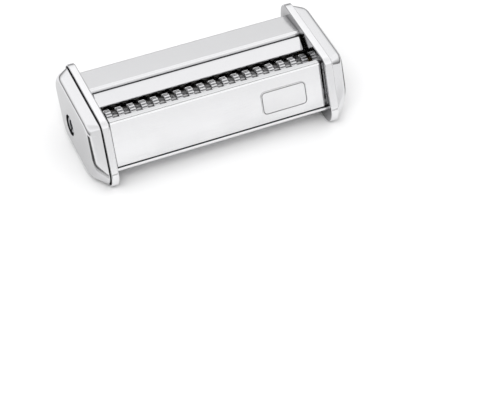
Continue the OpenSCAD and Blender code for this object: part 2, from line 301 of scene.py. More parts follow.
# ---------- materials ----------
# noise scales per metre: fingermarks, fine specks, and the slow waviness of pressed sheet
SMUDGE_SCALE, FINE_SCALE, WAVE_SCALE = 38.0, 420.0, 22.0
# width of a rubbed edge and depth of the grain, in millimetres
WEAR_WIDTH, GRAIN_DEPTH = 0.35, 0.02
OCCLUSION_SAMPLES, WEAR_SAMPLES = 8, 4
# the colour sockets of the Mix node
MIX_FACTOR, MIX_A, MIX_B, MIX_RESULT = 0, 6, 7, 2


def new_material(name, color, metallic=1.0):
    material = bpy.data.materials.new(name)
    material.use_nodes = True
    nodes, links = material.node_tree.nodes, material.node_tree.links
    shader = nodes["Principled BSDF"]
    shader.inputs["Metallic"].default_value = metallic
    shader.inputs["Base Color"].default_value = (*color, 1.0)
    return material, nodes, links, shader


def metal(name, color, rough=(0.08, 0.18), grain=(1.0, 1.0, 1.0), grain_scale=900.0,
          grain_bump=0.12, smudge=0.05, crevice=0.35, crevice_shade_color=(0.05, 0.05, 0.055),
          reach=2.2, open_at=0.85, wear=0.0, wear_color=(0.95, 0.95, 0.95), waviness=0.0):
    """A metal with grain along one direction, smudges, crevices darkened with painted shade and
    grease, and rubbed edges.

    reach is how far a crevice's shade goes, in millimetres, and open_at is how open a place has to
    be to stay clear of it.
    """
    material, nodes, links, shader = new_material(name, color)

    def node(kind, **values):
        made = nodes.new(kind)
        for key, value in values.items():
            setattr(made, key, value)
        return made

    where = node("ShaderNodeTexCoord")
    stretch = node("ShaderNodeMapping")
    stretch.inputs["Scale"].default_value = grain
    links.new(where.outputs["Object"], stretch.inputs["Vector"])

    def noise(scale, detail, roughness, vector):
        made = node("ShaderNodeTexNoise")
        made.inputs["Scale"].default_value = scale
        made.inputs["Detail"].default_value = detail
        made.inputs["Roughness"].default_value = roughness
        links.new(vector, made.inputs["Vector"])
        return made.outputs["Fac"]

    def remap(value, low, high, to_low, to_high):
        made = node("ShaderNodeMapRange")
        made.inputs["From Min"].default_value = low
        made.inputs["From Max"].default_value = high
        made.inputs["To Min"].default_value = to_low
        made.inputs["To Max"].default_value = to_high
        links.new(value, made.inputs["Value"])
        return made.outputs["Result"]

    def feed(value, socket):
        """Links a node's output to a socket, or sets the socket to a number or a colour."""
        if hasattr(value, "is_linked"):
            links.new(value, socket)
        else:
            socket.default_value = (*value, 1.0) if isinstance(value, tuple) else value

    def mix(factor, a, b):
        made = node("ShaderNodeMix", data_type="RGBA")
        for value, socket in ((factor, MIX_FACTOR), (a, MIX_A), (b, MIX_B)):
            feed(value, made.inputs[socket])
        return made.outputs[MIX_RESULT]

    def math_node(operation, a, b):
        made = node("ShaderNodeMath", operation=operation)
        feed(a, made.inputs[0])
        feed(b, made.inputs[1])
        return made.outputs[0]

    grain_value = noise(grain_scale, 3.0, 0.6, stretch.outputs["Vector"])
    smudge_value = noise(SMUDGE_SCALE, 4.0, 0.55, where.outputs["Object"])
    fine_value = noise(FINE_SCALE, 2.0, 0.5, where.outputs["Object"])

    # roughness: grain and fingermarks
    grain_rough = remap(grain_value, 0.3, 0.7, rough[0], rough[1])
    smudge_rough = remap(smudge_value, 0.45, 0.75, 0.0, smudge)
    links.new(math_node("ADD", grain_rough, smudge_rough), shader.inputs["Roughness"])

    # colour: faint tint changes, painted shade and grease darkening the crevices, bright rubbed
    # edges
    shade = remap(smudge_value, 0.3, 0.7, 0.955, 1.0)
    tone = mix(shade, tuple(c * 0.6 for c in color), color)
    speck = mix(remap(fine_value, 0.35, 0.65, 0.0, 0.05), tone, tuple(c * 0.8 for c in color))
    # painted shade: ambient occlusion darkens the colour in crevices and recesses where shade
    # falls, with grease in them too
    occlusion = node("ShaderNodeAmbientOcclusion", samples=OCCLUSION_SAMPLES)
    occlusion.inputs["Distance"].default_value = reach * MM
    shade_and_grease = math_node("MULTIPLY", remap(occlusion.outputs["AO"], 0.15, open_at, 1.0, 0.0), crevice)
    finished = mix(shade_and_grease, speck, crevice_shade_color)
    if wear > 0.0:
        # an edge is where the rounded normal turns away from the true one
        bevel = node("ShaderNodeBevel", samples=WEAR_SAMPLES)
        bevel.inputs["Radius"].default_value = WEAR_WIDTH * MM
        geometry = node("ShaderNodeNewGeometry")
        dot = node("ShaderNodeVectorMath", operation="DOT_PRODUCT")
        links.new(bevel.outputs["Normal"], dot.inputs[0])
        links.new(geometry.outputs["Normal"], dot.inputs[1])
        edge = remap(dot.outputs["Value"], 0.97, 0.80, 0.0, wear)
        patchy = math_node("MULTIPLY", edge, remap(fine_value, 0.35, 0.6, 0.2, 1.0))
        finished = mix(patchy, finished, wear_color)
    links.new(finished, shader.inputs["Base Color"])

    # bump: grain and, on thin pressed sheet, a very slight waviness
    height = grain_value
    if waviness > 0.0:
        slow = noise(WAVE_SCALE, 1.0, 0.4, where.outputs["Object"])
        height = math_node("ADD", height, math_node("MULTIPLY", slow, waviness))
    bump = node("ShaderNodeBump")
    bump.inputs["Strength"].default_value = grain_bump
    bump.inputs["Distance"].default_value = GRAIN_DEPTH * MM
    links.new(height, bump.inputs["Height"])
    links.new(bump.outputs["Normal"], shader.inputs["Normal"])
    return material


# grain drawn out along the rollers, or up the plates
ALONG_X = (0.04, 1.0, 1.0)
ALONG_Z = (1.0, 1.0, 0.05)
# the look of each material slot in the record
MATERIALS = {
    "plate_chrome": metal("plate_chrome", (0.79, 0.79, 0.80), rough=(0.06, 0.11),
                          grain_scale=700.0, grain_bump=0.03, crevice=0.9, waviness=3.0),
    "cover_chrome": metal("cover_chrome", (0.71, 0.71, 0.72), rough=(0.07, 0.12),
                          grain_scale=800.0, grain_bump=0.03, crevice=0.8, waviness=3.0),
    "frame_steel": metal("frame_steel", (0.45, 0.46, 0.48), rough=(0.28, 0.42), grain=ALONG_Z,
                         grain_bump=0.25, crevice=0.9, reach=6.0, wear=0.5,
                         wear_color=(0.75, 0.75, 0.76)),
    "satin_sheet": metal("satin_sheet", (0.81, 0.81, 0.82), rough=(0.20, 0.25), grain=ALONG_X,
                         grain_scale=1800.0, grain_bump=0.05, smudge=0.03, crevice=0.3),
    "polished_sheet": metal("polished_sheet", (0.82, 0.82, 0.83), rough=(0.08, 0.13),
                            grain=ALONG_X, grain_scale=1500.0, grain_bump=0.03, crevice=0.5),
    "badge_metal": metal("badge_metal", (0.84, 0.84, 0.85), rough=(0.14, 0.20), grain=ALONG_X,
                         grain_scale=2200.0, grain_bump=0.05, crevice=0.6),
    "roller_chrome": metal("roller_chrome", (0.66, 0.66, 0.67), rough=(0.07, 0.14),
                           grain=(1.0, 0.2, 0.2), grain_scale=1500.0, grain_bump=0.05,
                           crevice=1.0, crevice_shade_color=(0.03, 0.026, 0.022), reach=6.0,
                           open_at=0.5, wear=0.5),
    "gear_steel": metal("gear_steel", (0.48, 0.48, 0.50), rough=(0.25, 0.40), grain=ALONG_X,
                        grain_bump=0.25, crevice=0.8, crevice_shade_color=(0.02, 0.017, 0.012), wear=0.5),
    "clip_steel": metal("clip_steel", (0.42, 0.43, 0.45), rough=(0.25, 0.38), grain_bump=0.15,
                        wear=0.5),
    "bush_bronze": metal("bush_bronze", (0.34, 0.25, 0.14), rough=(0.30, 0.48), grain_bump=0.3,
                         crevice=0.95, crevice_shade_color=(0.012, 0.009, 0.006), reach=8.0),
    "comb_steel": metal("comb_steel", (0.50, 0.50, 0.52), rough=(0.20, 0.34), grain=ALONG_X,
                        grain_bump=0.15, crevice=0.9, crevice_shade_color=(0.02, 0.018, 0.015),
                        reach=6.0, wear=0.4),
    "rod_steel": metal("rod_steel", (0.62, 0.63, 0.65), rough=(0.18, 0.30), grain=ALONG_X,
                       grain_bump=0.12, crevice=0.8, reach=6.0),
}
# looks of pieces, or parts of pieces, that differ from their slot
# painted shade: a near-black for the inside of the end covers, the neck beside the rim and the end
# of the crank hole's collar
INSIDE_SHADE = metal("inside_painted_shade", (0.035, 0.035, 0.037), rough=(0.4, 0.55), grain_bump=0.3)
# painted shade: the driven roller sits deep in the head, and its chrome is darkened to stand for
# the shade there
REAR_ROLLER_SHADE = metal("rear_roller_painted_shade", (0.16, 0.155, 0.15), rough=(0.16, 0.30), grain_scale=1500.0,
                     grain_bump=0.05, crevice=1.0, crevice_shade_color=(0.004, 0.004, 0.003), reach=10.0,
                     open_at=0.6, wear=0.3, wear_color=(0.3, 0.3, 0.3))
# both faces of a side plate's flat, in the shade of the pieces beside them
PLATE_INSIDE = metal("plate_inside", (0.42, 0.42, 0.43), rough=(0.10, 0.16), grain_scale=700.0,
                     grain_bump=0.03, crevice=1.0, crevice_shade_color=(0.01, 0.01, 0.01), reach=10.0,
                     open_at=0.9)
# painted shade: a darker look for the groove floors of the front roller, deep between its discs
GROOVE_SHADE = metal("groove_painted_shade", (0.42, 0.42, 0.425), rough=(0.08, 0.18), grain=(1.0, 0.3, 0.3),
                    grain_scale=1200.0, grain_bump=0.1, crevice=1.0,
                    crevice_shade_color=(0.012, 0.01, 0.008), reach=7.0, open_at=0.75, wear=0.6)
# the line pressed into the badge
DARK_LINE = metal("dark_line", (0.16, 0.16, 0.165), rough=(0.3, 0.42), grain_bump=0.1)
# painted light: a brighter copy of the polished sheet for the folded strip along the top of the
# front cover
FOLD_LIGHT = metal("fold_painted_light", (0.94, 0.94, 0.95), rough=(0.06, 0.10), grain=ALONG_X,
                  grain_scale=1500.0, grain_bump=0.02, crevice=0.5)
# painted shade: a darker copy of the polished sheet for the guide that the dough slides on
GUIDE_SHADE = metal("guide_painted_shade", (0.745, 0.745, 0.755), rough=(0.08, 0.13), grain=ALONG_X,
                     grain_scale=1500.0, grain_bump=0.03, crevice=0.5)


def finish_piece(piece, slot, body, *nodes, look=None, second=None):
    """Gives a piece its slot's material, puts it on its body and hides the CAD nodes that it stands
    for.

    look is used in place of the slot's own material, and second on the faces in Shape.second.
    """
    piece.data.materials.append(look or MATERIALS[slot])
    if second:
        piece.data.materials.append(second)
    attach(piece, body)
    if nodes:
        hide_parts(*nodes)


# ---------- side plates and end covers ----------
# bands of the rounded edge that take the look of the flat
SHADED_BANDS = 2


def side_plate(side):
    """A side plate: a holed flat with a rounded edge, and a wall with a rolled rim."""
    inner_r, rim_r = 1.1, RIM_T / 2.0
    shape = Shape()
    # (x, inset) stations, round the edge of the flat and then round the rim
    stations = arc((PLATE_X + inner_r, inner_r), inner_r, 180.0, 270.0, 6)
    stations += arc((RIM_X - rim_r, rim_r), rim_r, 270.0, 450.0, 10)
    stations += [(PLATE_X + PLATE_T, RIM_T)]
    made = shape.loft([(x, side_outline(inset)) for x, inset in stations])
    around = len(made[0])
    rear_journal_r = CRANK_JOURNAL_R if side < 0 else JOURNAL_R
    holes = [(REAR_AXIS, rear_journal_r + BUSH_WALL), (FRONT_AXIS, JOURNAL_R + BUSH_WALL),
             (REAR_TIE_AT, TIE_HOLE_R), (FRONT_TIE_AT, TIE_HOLE_R)]
    shape.holed_cap(PLATE_X + PLATE_T, side_outline(RIM_T), holes)
    shape.holed_cap(PLATE_X, side_outline(inner_r), holes)
    # the flat, the start of its rounded edge, and the band between the flat and the rim
    last_band = (len(made) - 2) * around
    shape.second = [(0, SHADED_BANDS * around), (last_band, len(shape.faces))]
    for centre, r in holes:
        edge = circle(centre, r, HOLE_STEPS)
        shape.loft([(PLATE_X, edge), (PLATE_X + PLATE_T, edge)])
    return shape if side > 0 else shape.mirrored()


# the drafted face of an end cover: inset of each edge and radius of each corner
FACE_INSETS = (2.5, 4.6, 2.3, 3.0, 5.1)
FACE_RADII = (8.5, 5.5, 13.0, 8.0, 9.0)
# the rounding round the face, and how far the face's middle stands out
COVER_EDGE_R, CROWN = 3.4, 0.06
# (x, inset) stations of the narrow neck beside the rim, up to the start of the drafted wall
NECK = [(COVER_IN, COVER_INSET), (RIM_X - 0.9, COVER_INSET), (RIM_X - 0.6, 2.7),
        (RIM_X - 0.4, 2.8), (RIM_X - 0.1, 2.8), (RIM_X + 0.1, 2.6), (RIM_X + 0.3, 2.45),
        (RIM_X + 0.6, 2.36), (RIM_X + 1.3, 2.32)]
# the same on the inside, from the drafted wall back to the open edge
NECK_INSIDE = [(RIM_X + 1.6, 3.9), (RIM_X - 0.6, 3.9), (RIM_X - 0.9, 3.2), (COVER_IN, 3.2)]
# bands that take the painted shade: the neck's first ones, and the last ones of the crank hole's
# collar
DARK_NECK_BANDS, DARK_COLLAR_BANDS = 5, 3
# the collar of the crank hole: rounding of its edge, and how deep it goes
COLLAR_LIP, COLLAR_DEPTH = 0.3, 1.8
# where the face of the closed cover comes together, in a small cap
FACE_MIDDLE, FACE_CAP_R = (-1.0, 24.3), 0.6


def face_outline(extra, out=0.0):
    """The outline of an end cover's face, set in by extra, with its corner radii larger by out."""
    return side_outline([k + extra for k in FACE_INSETS], [r + out for r in FACE_RADII])


def end_cover(side):
    """An end cover, outside and inside; the left one has the crank hole with its collar."""
    has_hole = side < 0
    face_x = COVER_X - CROWN
    shape = Shape()
    rings = [(x, side_outline(inset)) for x, inset in NECK]
    # the rounding leaves the wall at the wall's own slope and ends flat on the face
    wall_x, wall = rings[-1]
    corner, rim = face_outline(0.0, COVER_EDGE_R), face_outline(COVER_EDGE_R)
    rise = 1.0 - COVER_EDGE_R / (face_x - wall_x)
    wall = [p.lerp(q, rise) for p, q in zip(wall, corner)]
    wall_x += (face_x - wall_x) * rise
    for k in range(11):
        t = k / 10.0
        from_wall, from_corner = (1.0 - t) ** 2, 2.0 * t * (1.0 - t)
        rings.append((from_wall * wall_x + (1.0 - from_wall) * face_x,
                      [from_wall * a + from_corner * b + t * t * c
                       for a, b, c in zip(wall, corner, rim)]))
    hole_r = CRANK_HOLE_R if has_hole else FACE_CAP_R
    hole_at = Vector(REAR_AXIS if has_hole else FACE_MIDDLE)
    lip = COLLAR_LIP if has_hole else 0.0

    def toward(t, r):
        """The edge of the face, moved by t towards a circle round the hole."""
        return [p.lerp(hole_at + unit(p - hole_at) * r, t) for p in rim]

    for t in (0.08, 0.2, 0.35, 0.5, 0.65, 0.8, 0.92, 1.0):
        rings.append((face_x + CROWN * (1.0 - (1.0 - t) ** 2), toward(t, hole_r + lip)))
    if has_hole:
        # the edge of the crank hole rolls inwards into a short collar
        for k in range(1, 6):
            a = math.radians(18.0 * k)
            rings.append((COVER_X - lip * (1.0 - math.cos(a)),
                          toward(1.0, hole_r + lip * (1.0 - math.sin(a)))))
        rings.append((COVER_X - COLLAR_DEPTH, toward(1.0, hole_r)))
    outside_bands = len(rings) - 1
    # the inside skin, back to the open edge
    inner_face, inner_r = face_x - COVER_WALL, COVER_EDGE_R - COVER_WALL
    inside = []
    if has_hole:
        inside.append((COVER_X - COLLAR_DEPTH, toward(1.0, hole_r + 0.7)))
        inside += [(inner_face, toward(t, hole_r + 0.9)) for t in (1.0, 0.7, 0.35)]
    for k in range(6):
        a = math.radians(90.0 - 18.0 * k)
        inside.append((inner_face - inner_r * (1.0 - math.sin(a)),
                       face_outline(COVER_EDGE_R - inner_r * math.cos(a), inner_r * math.cos(a))))
    inside += [(x, side_outline(inset)) for x, inset in NECK_INSIDE]
    around = len(rim)
    if has_hole:
        bright_end = (outside_bands - DARK_COLLAR_BANDS) * around
        made = shape.loft(rings + inside)
        shape.bridge(made[-1], made[0])
    else:
        made = shape.loft(rings)
        shape.cap(made[-1])
        bright_end = len(shape.faces)
        back = shape.loft(inside)
        shape.cap(back[0])
        shape.bridge(back[-1], made[0])
    # the neck and the inside take the painted shade
    shape.second = [(0, DARK_NECK_BANDS * around), (bright_end, len(shape.faces))]
    return shape if side > 0 else shape.mirrored()


for side, word in ((-1, "left"), (1, "right")):
    finish_piece(side_plate(side).build(f"{word}_plate_shell"), "plate_chrome", "head",
                 f"{word}_side_plate", second=PLATE_INSIDE)
    finish_piece(end_cover(side).build(f"{word}_cover_shell"), "cover_chrome", "head",
                 f"{word}_end_cover", second=INSIDE_SHADE)

# ---------- covers ----------
# the top cover: its two bends, the direction its top faces in degrees, and its rear wall
NOSE_AT, NOSE_R = (13.4, 41.0), 2.3
REAR_BEND_AT, REAR_BEND_R = (32.9, 39.4), 2.0
TOP_FACES = 84.0
# heights on the rear wall, and how far its foot leans in, in degrees
REAR_WALL_MID_Z, REAR_KNEE_Z, REAR_FOOT_Z, REAR_FOOT_LEAN = 33.8, 27.8, 10.8, 26.2
# outlines of the end tabs inside the top and front covers, and the gap outside the top one
TOP_TAB = [(17, 39.2), (17, 42.4), (33.0, 40.6), (34.2, 39.0), (34.2, 28.2), (20, 30.8)]
FRONT_TAB = [(-21.5, 43.4), (-23.6, 43.5), (-34.8, 14.9), (-22, 14.5), (-21.1, 26.8)]
TAB_GAP = 0.02
# ends of the dough guide and the front cover
GUIDE_END, FRONT_END = 75.0, 75.3


def plate_tab(shape, corners, x0, x1):
    """Adds a flat plate across X, from its corners."""
    loop = [Vector(c) for c in corners]
    made = shape.loft([(x0, loop), (x1, loop)])
    shape.cap(made[0], flip=True)
    shape.cap(made[1])


def top_cover():
    """The top cover: a lip under its rounded nose, the top, and the rear wall with its knee."""
    path = [Vector((20.0, NOSE_AT[1] - NOSE_R + HALF_T))]
    path += arc(NOSE_AT, NOSE_R - HALF_T, -90.0, TOP_FACES - 360.0, 28)
    path += arc(REAR_BEND_AT, REAR_BEND_R - HALF_T, TOP_FACES, 0.0, 10)
    wall_y = REAR_BEND_AT[0] + REAR_BEND_R - HALF_T
    foot_y = wall_y - (REAR_KNEE_Z - REAR_FOOT_Z) * math.tan(math.radians(REAR_FOOT_LEAN))
    path += filleted([(wall_y, REAR_WALL_MID_Z), (wall_y, REAR_KNEE_Z), (foot_y, REAR_FOOT_Z)],
                     [2.0], 8)
    shape = Shape()
    sheet(shape, path, SHEET_T, -PLATE_X, PLATE_X)
    for side in (-1, 1):
        tab = Shape()
        plate_tab(tab, TOP_TAB, PLATE_X - SHEET_T, PLATE_X - TAB_GAP)
        shape.add(tab if side > 0 else tab.mirrored())
    return shape


def dough_guide():
    """The polished guide below the nose, folded over at its top."""
    corners = [(3.5, 32.7), (-0.2, 36.8), (7.8, 43.18), (11.1, 38.7), (19.5, 38.7)]
    outer = filleted(corners, [0.9, 1.1, 1.0], 6)
    path = offset(list(reversed(outer)), HALF_T)
    return sheet(Shape(), path, SHEET_T, -GUIDE_END, GUIDE_END)


# corners of the front cover's outside, and the directions down its face and into the head
LEDGE_REAR, FACE_TOP = Vector((-20.8, 44.1)), Vector((-24.0, 44.5))
FACE_FOOT = Vector((-35.85, 13.85))
FACE_DOWN = unit(FACE_FOOT - FACE_TOP)
FACE_IN = left_of(FACE_DOWN)
# thickness of the folded strip; the face lies this much behind the CAD face
FOLD = 0.3
# the end flange: how far behind the CAD face, and from and to which X
FLANGE_BACK, FLANGE_FROM, FLANGE_TO = 1.5, 75.15, 76.3


def front_cover():
    """The cover sheet, with a thin strip folded over its ledge and the top of its face."""
    ledge = unit(FACE_TOP - LEDGE_REAR)
    deeper = FOLD * left_of(ledge)
    corners = [Vector((-18.6, 36.8)), LEDGE_REAR + deeper, FACE_TOP + deeper + FOLD * FACE_IN,
               FACE_FOOT + FOLD * FACE_IN, Vector((-32.3, 13.5))]
    thickness = SHEET_T - FOLD
    path = offset(filleted(corners, [0.95, 0.8, 0.6], 6), thickness / 2.0)
    shape = sheet(Shape(), path, thickness, -FRONT_END, FRONT_END)
    # the strip stops short on each side of the corner, which leaves a fine seam along it
    first = len(shape.faces)
    for start, end in ((LEDGE_REAR - 0.5 * ledge, FACE_TOP - 0.3 * ledge),
                       (FACE_TOP + 0.45 * FACE_DOWN, FACE_TOP + 1.85 * FACE_DOWN)):
        strip = [start, start.lerp(end, 0.5), end]
        sheet(shape, offset(strip, FOLD / 2.0), FOLD, -FRONT_END, FRONT_END, edge=0.1)
    # the folded strips take the painted light
    shape.second = [(first, len(shape.faces))]
    # a narrow flange on each end, set a little behind the face
    top = FACE_TOP + FLANGE_BACK * FACE_IN + 1.5 * FACE_DOWN
    foot = FACE_FOOT + FLANGE_BACK * FACE_IN - 0.8 * FACE_DOWN
    flange = [top, foot, foot + SHEET_T * FACE_IN, top + SHEET_T * FACE_IN]
    for side in (-1, 1):
        tab = Shape()
        plate_tab(tab, FRONT_TAB, FRONT_END - SHEET_T, FRONT_END - 0.1)
        plate_tab(tab, flange, FLANGE_FROM, FLANGE_TO)
        shape.add(tab if side > 0 else tab.mirrored())
    return shape


def strand_guard():
    """The nearly level guard at the foot of the front cover, with a bead along its front edge."""
    bead_at, bead_r = (-36.4, 12.88), 0.95
    path = [Vector((-13.5, 12.6)), Vector((-25.0, 12.54)), Vector((-36.2, 12.48))]
    shape = sheet(Shape(), path, SHEET_T, -PLATE_X, PLATE_X)
    bead = Shape()
    edge = circle(bead_at, bead_r, 28)
    made = bead.loft([(-PLATE_X, edge), (PLATE_X, edge)])
    bead.cap(made[0], flip=True)
    bead.cap(made[-1])
    shape.add(bead)
    return shape


finish_piece(top_cover().build("top_cover_sheet"), "satin_sheet", "head", "top_cover")
# the guide takes a darker copy of its slot's polished sheet, as painted shade
finish_piece(dough_guide().build("dough_guide_sheet"), "polished_sheet", "head", "dough_guide",
             look=GUIDE_SHADE)
finish_piece(front_cover().build("front_cover_sheet"), "polished_sheet", "head", "front_cover",
             second=FOLD_LIGHT)
finish_piece(strand_guard().build("strand_guard_sheet"), "polished_sheet", "head", "strand_guard")


# ---------- rollers ----------
# depth of the cross cuts in the discs, and of the flutes in the groove floors
TOOTH_CUT, GROOVE_CUT = 1.2, 0.5
# one tooth: (place along the tooth pitch, share of the cut), with eased shoulders
TOOTH = ((-0.24, 0.12), (-0.20, 0.0), (0.20, 0.0), (0.24, 0.12), (0.34, 0.92), (0.38, 1.0),
         (0.62, 1.0), (0.66, 0.92))


def disc_loop(at, r, cut=0.0):
    """A round or toothed outline; every loop has the same number of points."""
    points = []
    for i in range(TEETH):
        for place, depth in TOOTH:
            a = 2.0 * math.pi * (i + place) / TEETH
            radius = r - depth * cut
            points.append(Vector((at[0] + radius * math.cos(a), at[1] + radius * math.sin(a))))
    return points


def roller_body(at, first_disc):
    """The grooved roller: toothed discs with small chamfers and a fillet at each groove floor.

    first_disc is where the first disc starts. Where a disc stops short of the roller's end, the
    groove floor runs on to it.
    """
    shape = Shape()
    bevel, root, near = 0.18, 0.25, 0.01
    floor_loop = disc_loop(at, GROOVE_R, GROOVE_CUT)
    fillet_loop = disc_loop(at, GROOVE_R + root, GROOVE_CUT)
    low, crest = disc_loop(at, DISC_R - bevel, TOOTH_CUT), disc_loop(at, DISC_R, TOOTH_CUT)
    end_loop = disc_loop(at, GROOVE_R - bevel)
    rings = []
    for i in range(DISCS):
        start = first_disc + i * DISC_PITCH
        end = start + DISC_W
        if start > -ROLLER_END + near:
            if i == 0:
                rings += [(-ROLLER_END, end_loop), (-ROLLER_END + bevel, floor_loop)]
            rings += [(start - root, floor_loop), (start, fillet_loop)]
        rings += [(start, low), (start + bevel, crest), (end - bevel, crest), (end, low)]
        if end < ROLLER_END - near:
            rings += [(end, fillet_loop), (end + root, floor_loop)]
            if i == DISCS - 1:
                rings += [(ROLLER_END - bevel, floor_loop), (ROLLER_END, end_loop)]
    made = shape.loft(rings)
    around = len(crest)
    # every band that doesn't touch a crest belongs to a groove
    shape.second = [(k * around, (k + 1) * around) for k in range(len(rings) - 1)
                    if crest is not rings[k][1] and crest is not rings[k + 1][1]]
    shape.cap(made[0], flip=True)
    shape.cap(made[-1])
    return shape


def turned(at, profile, steps=48):
    """A shape turned round X from an open (x, r) profile, with its index rings."""
    shape = Shape()
    made = shape.loft([(x, circle(at, r, steps)) for x, r in profile])
    return shape, made


def journal(at, profile):
    """A turned shape with both ends closed."""
    shape, made = turned(at, profile)
    shape.cap(made[0], flip=True)
    shape.cap(made[-1])
    return shape


# inner faces of the left clips, the gears and the gear clips
LEFT_CLIP_X = BEARING_OUT + BUSH_FLANGE_T + 0.3
GEAR_X = BEARING_OUT + BUSH_FLANGE_T + 0.7
CLIP_X = GEAR_X + 6.05
CLIP_T = 0.8
# radii of a gear's seat and of its clip's groove, and the depth of a left clip's groove
SEAT_R, SEAT_GROOVE_R, CLIP_GROOVE = 3.4, 2.9, 0.5
# a journal starts this much inside its roller
OVERLAP = 0.5
RIGHT_JOURNAL = [(ROLLER_END - OVERLAP, JOURNAL_R), (GEAR_X - 0.5, JOURNAL_R),
                 (GEAR_X - 0.3, JOURNAL_R - 0.2), (GEAR_X - 0.3, SEAT_R), (CLIP_X, SEAT_R),
                 (CLIP_X, SEAT_GROOVE_R), (CLIP_X + CLIP_T, SEAT_GROOVE_R),
                 (CLIP_X + CLIP_T, SEAT_R), (CLIP_X + 1.2, SEAT_R), (CLIP_X + 1.4, SEAT_R - 0.2)]
FRONT_LEFT_JOURNAL = [(-ROLLER_END + OVERLAP, JOURNAL_R), (-LEFT_CLIP_X, JOURNAL_R),
                      (-LEFT_CLIP_X, JOURNAL_R - CLIP_GROOVE),
                      (-LEFT_CLIP_X - CLIP_T, JOURNAL_R - CLIP_GROOVE),
                      (-LEFT_CLIP_X - CLIP_T, JOURNAL_R),
                      (-LEFT_CLIP_X - CLIP_T - 0.6, JOURNAL_R),
                      (-LEFT_CLIP_X - CLIP_T - 0.8, JOURNAL_R - 0.2)]


def half_ring(side, shrink, bore_r, r, slot):
    """One half of the crank end's mouth, beside its cross slot."""
    low, high, gap = bore_r + shrink, r - shrink, slot + shrink
    inner, outer = math.degrees(math.acos(gap / low)), math.degrees(math.acos(gap / high))
    points = arc((0.0, 0.0), high, -outer, outer, 20) + arc((0.0, 0.0), low, inner, -inner, 20)
    return [Vector((REAR_AXIS[0] + side * p.x, REAR_AXIS[1] + p.y)) for p in points]


def crank_end():
    """The left journal of the rear roller: clip groove, crank socket and its cross slot."""
    mouth, bore_r, bore_len, r = 91.6, 3.4, 17.6, CRANK_JOURNAL_R
    # half the slot's width, its depth, and the chamfer at the mouth
    slot, depth, chamfer = 1.2, 3.0, 0.3
    floor = -mouth + depth
    profile = [(-ROLLER_END + OVERLAP, r), (-LEFT_CLIP_X, r), (-LEFT_CLIP_X, r - CLIP_GROOVE),
               (-LEFT_CLIP_X - CLIP_T, r - CLIP_GROOVE), (-LEFT_CLIP_X - CLIP_T, r), (floor, r),
               (floor, bore_r), (-mouth + bore_len, bore_r), (-mouth + bore_len + 1.2, 0.4)]
    shape, made = turned(REAR_AXIS, profile, 64)
    shape.cap(made[0])
    shape.cap(made[-1])
    # the two halves of the mouth, one on each side of the slot
    for side in (-1, 1):
        made = shape.loft([(x, half_ring(side, shrink, bore_r, r, slot)) for x, shrink in
                           ((floor + 0.2, 0.01), (-mouth + chamfer, 0.01), (-mouth, chamfer))])
        # quads across each end, between the outer arc and the inner one
        for ring in (made[0], made[-1]):
            half = len(ring) // 2
            for k in range(half - 1):
                shape.faces.append((ring[k], ring[k + 1], ring[-2 - k], ring[-1 - k]))
    return shape


# the discs of the front roller run in the grooves of the rear one
rear_body = roller_body(REAR_AXIS, -ROLLER_END)
rear_body.add(journal(REAR_AXIS, RIGHT_JOURNAL))
# the rear roller takes the painted shade all over, its grooves too
finish_piece(rear_body.build("rear_roller_discs"), "roller_chrome", "rear_cutter", "rear_roller",
             look=REAR_ROLLER_SHADE, second=REAR_ROLLER_SHADE)
finish_piece(crank_end().build("rear_roller_crank_end"), "roller_chrome", "rear_cutter",
             "rear_roller", look=MATERIALS["clip_steel"])
front_body = roller_body(FRONT_AXIS, -ROLLER_END + DISC_PITCH / 2.0)
front_body.add(journal(FRONT_AXIS, RIGHT_JOURNAL))
front_body.add(journal(FRONT_AXIS, FRONT_LEFT_JOURNAL))
# the front roller's groove floors take the painted shade
finish_piece(front_body.build("front_roller_discs"), "roller_chrome", "front_cutter",
             "front_roller", second=GROOVE_SHADE)


# ---------- badge ----------
def badge():
    """A thin blank plate with rounded corners and a dark line pressed in just inside its edge."""
    # width, height, corner radius and thickness, and the place of its middle on the face
    w, h, r, t = 32.8, 16.6, 3.2, 0.3
    at_x, up_face = 47.0, 14.7
    shape = Shape()

    def outline(inset, z):
        loop = []
        for sx, sy, start in ((1, 1, 0.0), (-1, 1, 90.0), (-1, -1, 180.0), (1, -1, 270.0)):
            centre = (sx * (w / 2.0 - r), sy * (h / 2.0 - r))
            loop += arc(centre, r - inset, start, start + 90.0, 8)
        return [(p.x, p.y, z) for p in loop]

    # (inset, height) from the back, over the edge and across the line; height 0 is the CAD face
    line = t - 0.14
    levels = [(0.0, -FOLD), (0.0, t - 0.1), (0.1, t), (0.35, t), (0.45, line), (0.8, line),
              (0.9, t)]
    line_bands = (3, 6)
    rings = []
    for inset, z in levels:
        start = len(shape.points)
        shape.points += outline(inset, z)
        rings.append(list(range(start, len(shape.points))))
    around = len(rings[0])
    for a, b in zip(rings, rings[1:]):
        shape.bridge(a, b)
    shape.second = [tuple(band * around for band in line_bands)]
    shape.cap(rings[0], flip=True)
    shape.cap(rings[-1])
    # laid on the front cover's face
    up, out = -FACE_DOWN, -FACE_IN
    at = FACE_FOOT + up_face * up
    shape.points = [(at_x + px, at.x + py * up.x + pz * out.x, at.y + py * up.y + pz * out.y)
                    for px, py, pz in shape.points]
    return shape


finish_piece(badge().build("badge_plate"), "badge_metal", "head", "badge", second=DARK_LINE)

# ---------- the CAD nodes that stay ----------
SLOTS = {s["node"]: s["material_slot"] for s in frame["record"]["subparts"]}
for name, node_object in frame["nodes"].items():
    node_object.data.materials.clear()
    node_object.data.materials.append(MATERIALS[SLOTS[name]])

# ---------- floor, lights and camera ----------
# heights in metres: the floor just under the head, and the flags just over the floor
FLOOR_HALF, FLOOR_Z, FLAG_Z = 20.0, -0.0001, 0.0004
SQUARE = ((-1, -1), (1, -1), (1, 1), (-1, 1))


